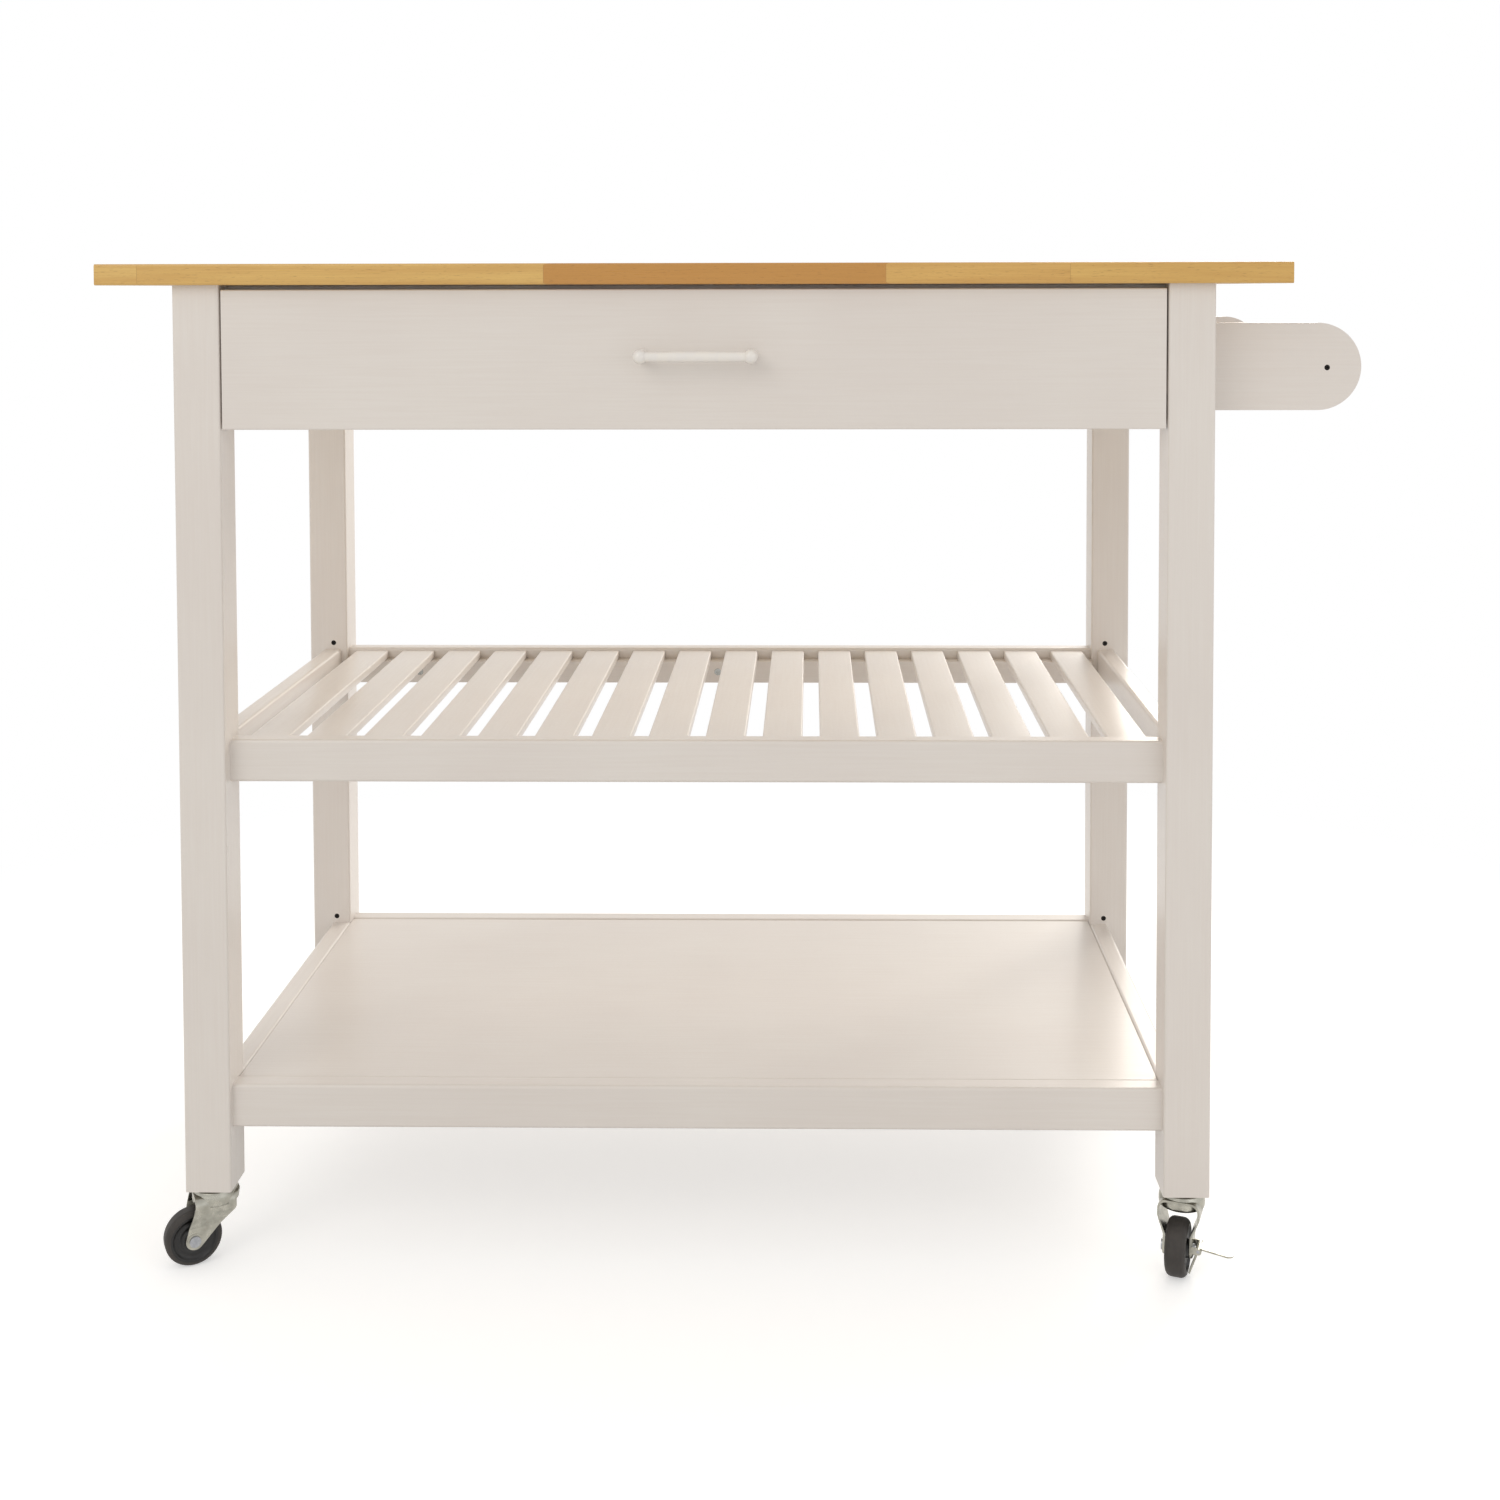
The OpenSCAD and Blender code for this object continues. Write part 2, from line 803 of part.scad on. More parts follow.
// The fork seen from the front: an arch with rounded shoulders, inset by the sheet
module fork_arch(inset) {
    wide = shoulder - inset;
    low = fork_out - inset;
    r = shoulder_r - inset;
    top = fork_top - inset;
    foot = axle_z - fork_end_r - over;
    polygon([[-wide + r, top], [wide - r, top], [wide, top - r], [wide, top - 14],
        [low, axle_z + 12], [low, foot], [-low, foot], [-low, axle_z + 12],
        [-wide, top - 14], [-wide, top - r]]);
    for (side = [-1, 1]) translate([side * (wide - r), top - r]) circle(r = r);
}

// Ears on the fork's outside that hold the brake pedal's pin
module pedal_ears() {
    for (side = [-1, 1])
        translate([trail + side * (pedal_w / 2 + ear_t / 2 + run_gap) - ear_t / 2,
            fork_out - 0.5, pivot_z]) {
            translate([0, 0, -3]) cube([ear_t, pivot_y - fork_out + 0.5, 6]);
            rod_x([0, pivot_y - fork_out + 0.5, 0], ear_t, 3);
        }
}

module fork(x, y, yaw, braked) {
    color(zinc) at_leg(x, y, yaw) difference() {
        union() {
            intersection() {
                translate([0, shoulder, 0]) rotate([90, 0, 0])
                    linear_extrude(2 * shoulder) fork_side();
                translate([fork_back, 0, 0]) rotate([90, 0, 90])
                    linear_extrude(trail + fork_end_r - fork_back) difference() {
                        fork_arch(0);
                        fork_arch(fork_t);
                    }
                union() {
                    translate([crown_x, 0, 0]) cylinder(r = crown_r, h = fork_top, $fn = 96);
                    translate([0, -shoulder, 0])
                        cube([trail + fork_end_r, 2 * shoulder, fork_top - 18]);
                }
            }
            for (start = [-fork_out - boss_t, fork_in])
                rod_y([trail, start, axle_z], fork_t + boss_t, boss_r);
            if (braked) pedal_ears();
        }
        translate([0, 0, fork_top - 5]) cylinder(r = stem_r + axle_gap, h = 6);
        rod_y([trail, -shoulder, axle_z], 2 * shoulder, axle_r);
        if (braked)
            rod_x([0, pivot_y, pivot_z], 2 * trail, pivot_r);
    }
}

// The axle is a rivet with two low heads; a braked caster has the pedal's pin too
module axle(x, y, yaw, braked) {
    outside = fork_out + boss_t;
    color(zinc) at_leg(x, y, yaw) {
        rod_y([trail, -outside - rivet_t, axle_z], 2 * (outside + rivet_t), axle_r);
        for (start = [-outside - rivet_t, outside])
            rod_y([trail, start, axle_z], rivet_t, axle_head_r);
        if (braked) {
            half = pedal_w / 2 + run_gap + ear_t;
            rod_x([trail - half, pivot_y, pivot_z], 2 * half, pivot_r);
        }
    }
}

// Half of the wheel's section: radius against width, turned about the axle
module wheel(x, y, yaw) {
    color(black) at_leg(x, y, yaw) translate([trail, 0, axle_z]) rotate([90, 0, 0])
        rotate_extrude($fn = 96) {
            half = wheel_w / 2;
            rim = wheel_d / 2;
            difference() {
                translate([hub_r, -half]) square([rim - hub_r - wheel_edge, wheel_w]);
                for (side = [-1, 1])
                    translate([hub_r, side > 0 ? half - 2 : -half])
                        square([rim - hub_r - wheel_edge - 3, 2]);
            }
            translate([rim - wheel_edge - 0.01, -half + wheel_edge])
                square([wheel_edge + 0.01, wheel_w - 2 * wheel_edge]);
            for (side = [-1, 1]) translate([rim - wheel_edge, side * (half - wheel_edge)])
                circle(r = wheel_edge);
            translate([axle_r + axle_gap, -hub_w / 2])
                square([hub_r - axle_r - axle_gap + 0.01, hub_w]);
        }
}

// The pedal turns on its pin; its shoe closes against the side of the wheel
module pedal(x, y, yaw) {
    color(zinc) at_leg(x, y, yaw) translate([trail, pivot_y, pivot_z]) difference() {
        union() {
            rod_x([-pedal_w / 2, 0, 0], pedal_w, knuckle_r);
            rotate([-pedal_drop, 0, 0]) translate([0, 0, plate_up]) linear_extrude(pedal_t) {
                translate([-plate_w / 2, 1]) square([plate_w, pedal_l - 1]);
                translate([0, pedal_l]) circle(r = plate_w / 2);
            }
            rotate([-shoe_turn, 0, 0]) translate([-shoe_w / 2, -pedal_t / 2, -shoe_l])
                cube([shoe_w, pedal_t, shoe_l - 1]);
        }
        rod_x([-pedal_w, 0, 0], 2 * pedal_w, pivot_r + axle_gap);
    }
}

module caster_fork_front_left() fork(left_x, front_y, yaw_front_left, false);
module caster_fork_front_right() fork(right_x, front_y, yaw_front_right, true);
module caster_fork_rear_left() fork(left_x, rear_y, yaw_rear_left, true);
module caster_fork_rear_right() fork(right_x, rear_y, yaw_rear_right, false);
module caster_axle_front_left() axle(left_x, front_y, yaw_front_left, false);
module caster_axle_front_right() axle(right_x, front_y, yaw_front_right, true);
module caster_axle_rear_left() axle(left_x, rear_y, yaw_rear_left, true);
module caster_axle_rear_right() axle(right_x, rear_y, yaw_rear_right, false);
module caster_wheel_front_left() wheel(left_x, front_y, yaw_front_left);
module caster_wheel_front_right() wheel(right_x, front_y, yaw_front_right);
module caster_wheel_rear_left() wheel(left_x, rear_y, yaw_rear_left);
module caster_wheel_rear_right() wheel(right_x, rear_y, yaw_rear_right);
module brake_pedal_front_right() pedal(right_x, front_y, yaw_front_right);
module brake_pedal_rear_left() pedal(left_x, rear_y, yaw_rear_left);

worktop();
leg_front_left();
leg_front_right();
leg_rear_left();
leg_rear_right();
apron_left();
apron_right();
apron_rear();
drawer_rail_lower();
drawer_rail_upper();
top_cleat();
shelf_rail_front();
shelf_rail_rear();
shelf_rails_side();
shelf_cleats();
shelf_slats();
base_rail_front();
base_rail_rear();
base_rails_side();
base_cleats();
base_panel();
towel_bracket_front();
towel_bracket_rear();
towel_bar();
towel_rail_screws();
worktop_screws();
frame_bolts();
barrel_nuts();
dowels();
cleat_screws();
leg_screws();
slide_channels();
slide_screws();
caster_stems();
drawer_front();
drawer_box_front();
drawer_side_left();
drawer_side_right();
drawer_back();
drawer_bottom();
drawer_runners();
drawer_screws();
drawer_handle();
handle_screws();
slide_cages();
slide_balls();
caster_fork_front_left();
caster_fork_front_right();
caster_fork_rear_left();
caster_fork_rear_right();
caster_axle_front_left();
caster_axle_front_right();
caster_axle_rear_left();
caster_axle_rear_right();
caster_wheel_front_left();
caster_wheel_front_right();
caster_wheel_rear_left();
caster_wheel_rear_right();
brake_pedal_front_right();
brake_pedal_rear_left();
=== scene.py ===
# Kitchen island cart: the finish of every surface of the cart, round its fixed frame.
import json
import math

import bmesh
import bpy
from mathutils import Matrix, Vector


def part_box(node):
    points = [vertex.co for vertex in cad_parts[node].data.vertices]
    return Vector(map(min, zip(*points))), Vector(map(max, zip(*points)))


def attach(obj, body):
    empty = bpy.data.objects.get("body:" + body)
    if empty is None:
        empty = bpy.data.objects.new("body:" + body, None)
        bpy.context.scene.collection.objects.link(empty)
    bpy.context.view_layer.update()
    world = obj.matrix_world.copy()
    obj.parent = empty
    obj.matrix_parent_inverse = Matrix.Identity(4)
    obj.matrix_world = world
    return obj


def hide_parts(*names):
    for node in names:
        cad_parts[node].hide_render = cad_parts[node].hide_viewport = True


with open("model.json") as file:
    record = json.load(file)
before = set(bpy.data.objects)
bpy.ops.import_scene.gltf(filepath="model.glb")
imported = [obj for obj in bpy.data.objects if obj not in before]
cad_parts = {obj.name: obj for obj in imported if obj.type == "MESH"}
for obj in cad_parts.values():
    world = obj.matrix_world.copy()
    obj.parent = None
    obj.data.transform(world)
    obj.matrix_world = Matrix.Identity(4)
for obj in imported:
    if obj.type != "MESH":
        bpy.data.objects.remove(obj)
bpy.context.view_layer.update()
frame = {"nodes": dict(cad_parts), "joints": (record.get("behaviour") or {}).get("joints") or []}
MM = 0.001

# ---- Camera ---------------------------------------------------------------------------
# Eye level is just under the worktop, a little to the right of the cart's middle, and
# the view is almost square to the drawer front.

camera_place = Vector((67.6, -1859.7, 895.3)) * MM
camera_turn = 0.015
camera_drop = 0.040
camera_lean = -0.002
camera = bpy.data.objects.new("camera", bpy.data.cameras.new("camera"))
camera.matrix_world = (
    Matrix.Translation(camera_place)
    @ Matrix.Rotation(camera_turn, 4, "Z")
    @ Matrix.Rotation(math.pi / 2 - camera_drop, 4, "X")
    @ Matrix.Rotation(camera_lean, 4, "Z")
)
camera.data.sensor_width = 36
camera.data.lens = 43.78
camera.data.shift_x = -0.0219
camera.data.shift_y = -0.2584
bpy.context.scene.collection.objects.link(camera)
bpy.context.scene.camera = camera
bpy.context.scene.view_settings.view_transform = "Standard"


# ---- Studio ---------------------------------------------------------------------------
# A plain pale floor under soft light from large boxes. The floor and the world are white
# to the eye and in reflections, and the floor keeps the cart's shadow round its middle.


def colour(hex_code):
    """An sRGB hex value as a linear colour with alpha."""
    parts = [int(hex_code[i : i + 2], 16) / 255 for i in (1, 3, 5)]
    linear = [p / 12.92 if p <= 0.04045 else ((p + 0.055) / 1.055) ** 2.4 for p in parts]
    return (*linear, 1.0)


def add(tree, kind, links=None, **settings):
    """Adds a node with its settings, and links or sets its inputs by name or number."""
    node = tree.nodes.new(kind)
    for name, value in settings.items():
        setattr(node, name, value)
    for socket, value in (links or {}).items():
        if isinstance(value, bpy.types.NodeSocket):
            tree.links.new(value, node.inputs[socket])
        else:
            node.inputs[socket].default_value = value
    return node


def seen_plainly(tree):
    """1 for rays that come from the eye, from gloss or through glass, and 0 for light."""
    path = add(tree, "ShaderNodeLightPath")
    eye_or_gloss = add(tree, "ShaderNodeMath", {0: path.outputs["Is Camera Ray"],
        1: path.outputs["Is Glossy Ray"]}, operation="MAXIMUM")
    return add(tree, "ShaderNodeMath", {0: eye_or_gloss.outputs[0],
        1: path.outputs["Is Transmission Ray"]}, operation="MAXIMUM").outputs[0]


world = bpy.data.worlds.new("studio")
bpy.context.scene.world = world
world.use_nodes = True
tree = world.node_tree
tree.nodes.clear()
dome_light = add(tree, "ShaderNodeBackground", {"Color": colour("#fffdf9"), "Strength": 0.72})
dome_white = add(tree, "ShaderNodeBackground", {"Color": colour("#ffffff"), "Strength": 1.0})
dome = add(tree, "ShaderNodeMixShader", {0: seen_plainly(tree), 1: dome_light.outputs[0],
    2: dome_white.outputs[0]})
add(tree, "ShaderNodeOutputWorld", {"Surface": dome.outputs[0]})

floor_half = 6.0
shadow_reach = 0.7
white_from = 1.5
floor_mesh = bpy.data.meshes.new("floor")
floor_mesh.from_pydata([(-floor_half, -floor_half, 0), (floor_half, -floor_half, 0),
    (floor_half, floor_half, 0), (-floor_half, floor_half, 0)], [], [(0, 1, 2, 3)])
floor = bpy.data.objects.new("floor", floor_mesh)
bpy.context.scene.collection.objects.link(floor)
floor_paint = bpy.data.materials.new("floor_white")
floor_paint.use_nodes = True
tree = floor_paint.node_tree
tree.nodes.clear()
matt = add(tree, "ShaderNodeBsdfDiffuse", {"Color": colour("#e6e6e6")})
lift = add(tree, "ShaderNodeEmission", {"Color": colour("#ffffff"), "Strength": 0.45})
lifted = add(tree, "ShaderNodeAddShader", {0: matt.outputs[0], 1: lift.outputs[0]})
plain = add(tree, "ShaderNodeEmission", {"Color": colour("#ffffff"), "Strength": 1.0})
from_middle = add(tree, "ShaderNodeVectorMath",
    {0: add(tree, "ShaderNodeTexCoord").outputs["Object"]}, operation="LENGTH")
fade = add(tree, "ShaderNodeMapRange", {"Value": from_middle.outputs["Value"],
    "From Min": shadow_reach, "From Max": white_from}, interpolation_type="SMOOTHSTEP")
pale = add(tree, "ShaderNodeMixShader", {0: fade.outputs[0], 1: lifted.outputs[0],
    2: plain.outputs[0]})
shown = add(tree, "ShaderNodeMixShader", {0: seen_plainly(tree), 1: matt.outputs[0],
    2: pale.outputs[0]})
add(tree, "ShaderNodeOutputMaterial", {"Surface": shown.outputs[0]})
floor_mesh.materials.append(floor_paint)


def soft_box(name, place, aim, side, power, tint):
    """A square area lamp at a place, turned to a point."""
    lamp = bpy.data.lights.new(name, "AREA")
    lamp.size = side
    lamp.energy = power
    lamp.color = colour(tint)[:3]
    box = bpy.data.objects.new(name, lamp)
    box.matrix_world = Matrix.Translation(place) @ (
        Vector(aim) - Vector(place)).to_track_quat("-Z", "Y").to_matrix().to_4x4()
    bpy.context.scene.collection.objects.link(box)


soft_box("key_box", (-1.9, -3.0, 2.6), (0, 0, 0.4), 2.2, 24, "#fffaf4")
soft_box("fill_box", (2.6, -2.6, 0.9), (0, 0, 0.3), 2.4, 10, "#f8f9ff")
soft_box("back_box", (1.5, 2.6, 1.9), (0, 0, 0.2), 1.6, 54, "#fffaf2")


# ---- Worktop --------------------------------------------------------------------------
# Rubberwood: short blocks are finger-jointed end to end into staves, the staves are glued
# edge to edge, and the board is sanded and given a clear satin lacquer.


def new_material(name, **values):
    """A material with an empty tree but for its shader, whose plain values are set."""
    material = bpy.data.materials.new(name)
    material.use_nodes = True
    tree = material.node_tree
    tree.nodes.clear()
    shader = add(tree, "ShaderNodeBsdfPrincipled",
        {key.replace("_", " ").title(): value for key, value in values.items()
         if key != "ior"})
    if "ior" in values:
        shader.inputs["IOR"].default_value = values["ior"]
    add(tree, "ShaderNodeOutputMaterial", {"Surface": shader.outputs[0]})
    return material, tree, shader


def noise(tree, size, detail=2.0, place=None):
    """Noise whose lumps have the sizes given, in millimetres, on Object coordinates."""
    if place is None:
        place = add(tree, "ShaderNodeTexCoord").outputs["Object"]
    stretch = add(tree, "ShaderNodeMapping",
        {"Vector": place, "Scale": [1 / (s * MM) for s in size]})
    return add(tree, "ShaderNodeTexNoise",
        {"Vector": stretch.outputs[0], "Scale": 1.0, "Detail": detail}).outputs["Fac"]


def spread(tree, value, low, high, out_low, out_high):
    """Maps a value between two bounds onto another range."""
    return add(tree, "ShaderNodeMapRange", {"Value": value, "From Min": low, "From Max": high,
        "To Min": out_low, "To Max": out_high}).outputs[0]


def blend(tree, amount, first, second, how="MIX"):
    """Mixes two colours, each a hex code or a socket."""
    mixed = add(tree, "ShaderNodeMix", data_type="RGBA", blend_type=how)
    for socket, value in ((0, amount), (6, first), (7, second)):
        if isinstance(value, str):
            value = colour(value)
        if isinstance(value, bpy.types.NodeSocket):
            tree.links.new(value, mixed.inputs[socket])
        else:
            mixed.inputs[socket].default_value = value
    return mixed.outputs[2]


def bump(tree, shader, height, depth, strength=1.0):
    """Raises the surface by a height field whose full range is a depth in millimetres."""
    raised = add(tree, "ShaderNodeBump",
        {"Height": height, "Distance": depth * MM, "Strength": strength})
    tree.links.new(raised.outputs[0], shader.inputs["Normal"])


def maths(tree, operation, first, second=0.0):
    """One sum on two values, each a number or a socket."""
    return add(tree, "ShaderNodeMath", {0: first, 1: second}, operation=operation).outputs[0]


def lacquered_rubberwood():
    """Finger-jointed staves under clear lacquer; sizes are in millimetres."""
    stave_w = 41.7
    block_l = 280.0
    finger_l = 9.0
    finger_pitch = 4.0
    glue_w = 0.4
    seam_w = 0.25
    stave_shift = 37.37
    material, tree, shader = new_material("lacquered_rubberwood", ior=1.5, roughness=0.32,
        coat_weight=0.35, coat_roughness=0.18)
    spot = add(tree, "ShaderNodeTexCoord").outputs["Object"]
    place = add(tree, "ShaderNodeSeparateXYZ", {0: spot})
    across = maths(tree, "DIVIDE", place.outputs["Y"], stave_w * MM)
    stave = maths(tree, "FLOOR", across)
    # A finger joint is a zigzag across the stave's face
    zigzag = maths(tree, "PINGPONG", place.outputs["Y"], finger_pitch / 2 * MM)
    shifted = maths(tree, "ADD", place.outputs["X"],
        maths(tree, "MULTIPLY", zigzag, 2 * finger_l / finger_pitch))
    along = maths(tree, "ADD", maths(tree, "DIVIDE", shifted, block_l * MM),
        maths(tree, "MULTIPLY", stave, stave_shift))
    block = add(tree, "ShaderNodeTexVoronoi", {"W": along, "Scale": 1.0},
        voronoi_dimensions="1D").outputs["Color"]
    joint = add(tree, "ShaderNodeTexVoronoi", {"W": along, "Scale": 1.0},
        voronoi_dimensions="1D", feature="DISTANCE_TO_EDGE").outputs["Distance"]
    tones = add(tree, "ShaderNodeSeparateColor", {0: block})
    # Each block has its own stretch of grain
    moved = add(tree, "ShaderNodeVectorMath", {0: spot, 1: block},
        operation="ADD").outputs[0]
    streaks = noise(tree, (220, 7, 7), 4.0, moved)
    fibres = noise(tree, (45, 0.9, 0.9), 3.0, moved)
    pores = noise(tree, (7, 0.45, 0.45), 1.0, moved)
    tone = add(tree, "ShaderNodeValToRGB", {0: tones.outputs[0]})
    stops = ((0.0, "#d9ae5c"), (0.3, "#e2bb6d"), (0.55, "#deb566"), (0.8, "#d5a151"),
        (1.0, "#b97c30"))
    ramp = tone.color_ramp
    for position, code in stops[1:-1]:
        ramp.elements.new(position).color = colour(code)
    ramp.elements[0].color = colour(stops[0][1])
    ramp.elements[-1].color = colour(stops[-1][1])
    wood = blend(tree, spread(tree, streaks, 0.35, 0.7, 0.0, 0.45), tone.outputs[0],
        "#c08a3e")
    wood = blend(tree, spread(tree, fibres, 0.4, 0.75, 0.0, 0.22), wood, "#ad7530")
    wood = blend(tree, spread(tree, pores, 0.66, 0.74, 0.0, 0.5), wood, "#8a5a2c")
    wood = blend(tree, spread(tree, joint, 0.0, glue_w / block_l, 0.45, 0.0), wood,
        "#8d6236")
    seam = maths(tree, "PINGPONG", place.outputs["Y"], stave_w / 2 * MM)
    wood = blend(tree, spread(tree, seam, 0.0, seam_w * MM, 0.3, 0.0), wood, "#8d6236")
    tree.links.new(wood, shader.inputs["Base Color"])
    tree.links.new(spread(tree, fibres, 0.3, 0.7, 0.27, 0.38), shader.inputs["Roughness"])
    bump(tree, shader, blend(tree, 0.5, fibres, pores), 0.06, 0.5)
    return material


def dress(material, *names):
    """Gives CAD nodes a material."""
    for name in names:
        slots = frame["nodes"][name].material_slots
        for slot in slots:
            slot.material = material
        if not slots:
            frame["nodes"][name].data.materials.append(material)


dress(lacquered_rubberwood(), "worktop")


# ---- Painted frame --------------------------------------------------------------------
# Legs, aprons, rails, cleats, bottom panel, brackets and bar are planed rubberwood under
# sprayed white lacquer. The spray leaves a fine orange peel, and long grain shows through
# it faintly along each board.


def painted_wood(name, along):
    """White lacquer over wood whose grain runs along one axis: 0, 1 or 2."""
    grain_size = [2.2, 2.2, 2.2]
    grain_size[along] = 90
    material, tree, shader = new_material(name, ior=1.5, roughness=0.4, coat_weight=0.3,
        coat_roughness=0.22)
    cloud = noise(tree, (160, 160, 160), 2.0)
    grain = noise(tree, grain_size, 3.0)
    peel = noise(tree, (2.6, 2.6, 2.6), 1.0)
    paint = blend(tree, spread(tree, cloud, 0.35, 0.65, 0.0, 1.0), "#e6e0da", "#e3dcd6")
    paint = blend(tree, spread(tree, grain, 0.35, 0.7, 0.0, 0.25), paint, "#dbd1c9")
    tree.links.new(paint, shader.inputs["Base Color"])
    tree.links.new(spread(tree, peel, 0.3, 0.7, 0.34, 0.46), shader.inputs["Roughness"])
    bump(tree, shader, blend(tree, 0.35, grain, peel), 0.05, 0.6)
    return material


white_across = painted_wood("white_lacquer_grain_across", 0)
white_deep = painted_wood("white_lacquer_grain_deep", 1)
white_upright = painted_wood("white_lacquer_grain_upright", 2)
dress(white_upright, "leg_front_left", "leg_front_right", "leg_rear_left", "leg_rear_right")
dress(white_across, "apron_rear", "drawer_rail_lower", "drawer_rail_upper", "top_cleat",
    "shelf_rail_front", "shelf_rail_rear", "shelf_cleats", "base_rail_front",
    "base_rail_rear", "base_cleats", "base_panel", "towel_bracket_front",
    "towel_bracket_rear", "drawer_front")
dress(white_deep, "apron_left", "apron_right", "shelf_rails_side", "base_rails_side",
    "towel_bar")


# ---- Slats ----------------------------------------------------------------------------
# Sixteen planed strips with rounded edges, painted like the frame, lie at an even pitch
# on two cleats. Each is cut from the same moulding, so one section is run along its
# length and repeated.


def islands(node):
    """The lowest, the highest and all corners of each solid of a CAD node, in order."""
    mesh = bmesh.new()
    mesh.from_mesh(frame["nodes"][node].data)
    bmesh.ops.remove_doubles(mesh, verts=mesh.verts, dist=0.001 * MM)
    left = set(mesh.verts)
    found = []
    while left:
        queue = [left.pop()]
        corners = [queue[0].co.copy()]
        while queue:
            for edge in queue.pop().link_edges:
                for vert in edge.verts:
                    if vert in left:
                        left.remove(vert)
                        queue.append(vert)
                        corners.append(vert.co.copy())
        low = Vector([min(c[i] for c in corners) for i in range(3)])
        high = Vector([max(c[i] for c in corners) for i in range(3)])
        found.append((low, high, corners))
    mesh.free()
    return sorted(found, key=lambda item: tuple(round(v, 5) for v in item[0]))


def node_group(name, inputs):
    """An empty geometry tree with named inputs and one geometry output."""
    group = bpy.data.node_groups.new(name, "GeometryNodeTree")
    group.interface.new_socket("Geometry", in_out="OUTPUT", socket_type="NodeSocketGeometry")
    for label, kind in inputs:
        group.interface.new_socket(label, in_out="INPUT", socket_type="NodeSocket" + kind)
    return group, add(group, "NodeGroupInput").outputs, add(group, "NodeGroupOutput")


def run_group(name, group, mesh, values):
    """Runs a geometry tree on a mesh with named values, and returns a plain object."""
    source = bpy.data.objects.new(name + "_source", mesh)
    bpy.context.scene.collection.objects.link(source)
    modifier = source.modifiers.new("run", "NODES")
    modifier.node_group = group
    sockets = {item.name: item.identifier for item in group.interface.items_tree
        if item.in_out == "INPUT"}
    for label, value in values.items():
        modifier[sockets[label]] = value
    ready = source.evaluated_get(bpy.context.evaluated_depsgraph_get())
    result = bpy.data.meshes.new_from_object(ready)
    source.modifiers.remove(modifier)
    bpy.data.objects.remove(source)
    result.name = name
    piece = bpy.data.objects.new(name, result)
    bpy.context.scene.collection.objects.link(piece)
    return piece


def slat_tree():
    """A rounded strip run along Y and repeated along X at a pitch."""
    group, given, end = node_group("slat_row", (("First", "Vector"), ("Count", "Int"),
        ("Pitch", "Float"), ("Width", "Float"), ("Thickness", "Float"), ("Length", "Float"),
        ("Ease", "Float"), ("Finish", "Material")))
    outline = add(group, "GeometryNodeCurvePrimitiveQuadrilateral",
        {"Width": given["Width"], "Height": given["Thickness"]})
    rounded = add(group, "GeometryNodeFilletCurve", {"Curve": outline.outputs[0],
        "Radius": given["Ease"], "Count": 5}, mode="POLY")
    reach = add(group, "ShaderNodeCombineXYZ", {"Y": given["Length"]})
    path = add(group, "GeometryNodeCurvePrimitiveLine", {"End": reach.outputs[0]})
    upright = add(group, "GeometryNodeSetCurveNormal", {"Curve": path.outputs[0]},
        mode="Z_UP")
    slat = add(group, "GeometryNodeCurveToMesh", {"Curve": upright.outputs[0],
        "Profile Curve": rounded.outputs[0], "Fill Caps": True})
    step = add(group, "ShaderNodeCombineXYZ", {"X": given["Pitch"]})
    row = add(group, "GeometryNodeMeshLine", {"Count": given["Count"],
        "Start Location": given["First"], "Offset": step.outputs[0]})
    slats = add(group, "GeometryNodeInstanceOnPoints",
        {"Points": row.outputs[0], "Instance": slat.outputs[0]})
    real = add(group, "GeometryNodeRealizeInstances", {0: slats.outputs[0]})
    finished = add(group, "GeometryNodeSetMaterial",
        {"Geometry": real.outputs[0], "Material": given["Finish"]})
    group.links.new(finished.outputs[0], end.inputs[0])
    return group


strips = islands("shelf_slats")
low, high, _ = strips[0]
slats = run_group("shelf_slat_row", slat_tree(), bpy.data.meshes.new("slats"), {
    "First": Vector(((low.x + high.x) / 2, low.y, (low.z + high.z) / 2)),
    "Count": len(strips),
    "Pitch": (strips[-1][0].x - strips[0][0].x) / (len(strips) - 1),
    "Width": high.x - low.x,
    "Thickness": high.z - low.z,
    "Length": high.y - low.y,
    "Ease": 1.8 * MM,
    "Finish": white_deep,
})
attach(slats, "cart")
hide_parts("shelf_slats")


# ---- Drawer box -----------------------------------------------------------------------
# The sides, back and inner front are planed pine left bare; the bottom is thin rotary-cut
# plywood, sanded, which slides into grooves before the back is nailed on. The dowels of
# the whole frame are plain turned beech.


def bare_wood(name, along, light, dark, ring, roughness):
    """Unfinished planed wood, with growth rings of a width in millimetres, along an axis."""
    ring_size = [ring, ring, ring]
    ring_size[along] = 420
    fibre_size = [0.8, 0.8, 0.8]
    fibre_size[along] = 30
    material, tree, shader = new_material(name, ior=1.5, roughness=roughness)
    rings = noise(tree, ring_size, 2.0)
    bands = maths(tree, "PINGPONG", maths(tree, "MULTIPLY", rings, 6.0), 0.5)
    fibres = noise(tree, fibre_size, 3.0)
    wood = blend(tree, spread(tree, bands, 0.1, 0.5, 0.0, 0.7), light, dark)
    wood = blend(tree, spread(tree, fibres, 0.35, 0.75, 0.0, 0.35), wood, dark)
    tree.links.new(wood, shader.inputs["Base Color"])
    tree.links.new(spread(tree, fibres, 0.3, 0.7, roughness - 0.06, roughness + 0.06),
        shader.inputs["Roughness"])
    bump(tree, shader, blend(tree, 0.6, bands, fibres), 0.08, 0.5)
    return material


